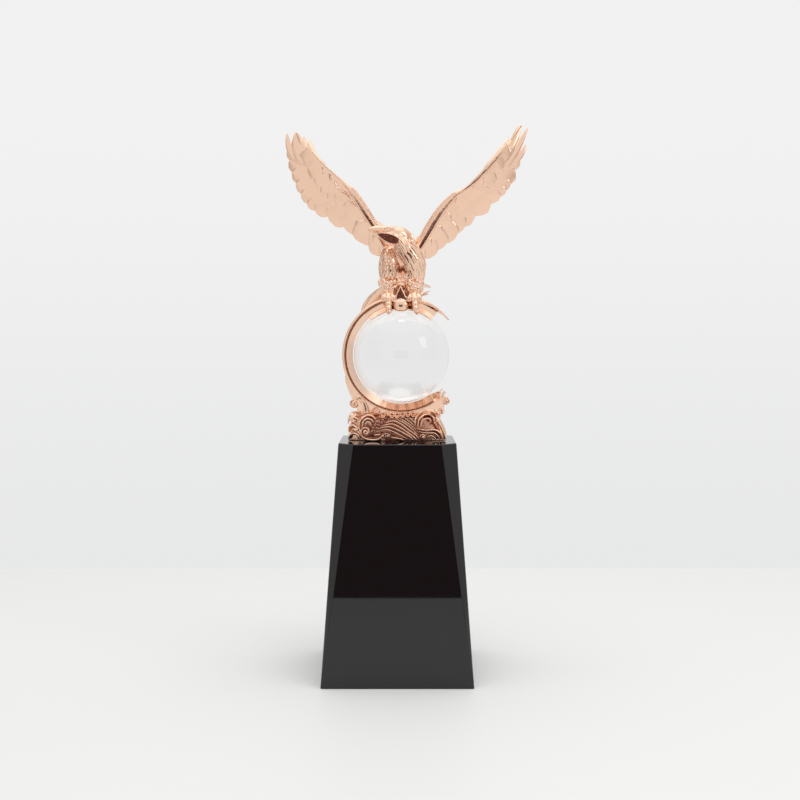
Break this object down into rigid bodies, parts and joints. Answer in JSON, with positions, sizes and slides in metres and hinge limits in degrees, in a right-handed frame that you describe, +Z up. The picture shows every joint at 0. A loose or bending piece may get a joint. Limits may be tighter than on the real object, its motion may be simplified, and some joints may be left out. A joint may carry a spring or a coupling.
{
  "type": "eagle trophy",
  "caption": "Award trophy: a cast eagle with raised wings on a crescent that holds a crystal ball, over cast waves on a tapered black glass plinth.",
  "frame": {"origin": "centre of the plinth's underside", "axes": "+Z up through the plinth to the wing tips, -Y towards the viewer that the eagle faces, +X to that viewer's right"},
  "size_m": [0.1322, 0.08, 0.2976],
  "materials": {
    "black_glass": "polished black crystal glass with small bevelled edges",
    "clear_crystal": "polished clear crystal",
    "rose_gold": "bright rose-gold plate on a zinc casting"
  },
  "bodies": {
    "root": {"plinth": "black_glass", "crystal_ball": "clear_crystal", "wave_crescent": "rose_gold", "eagle": "rose_gold"}
  },
  "joints": []
}
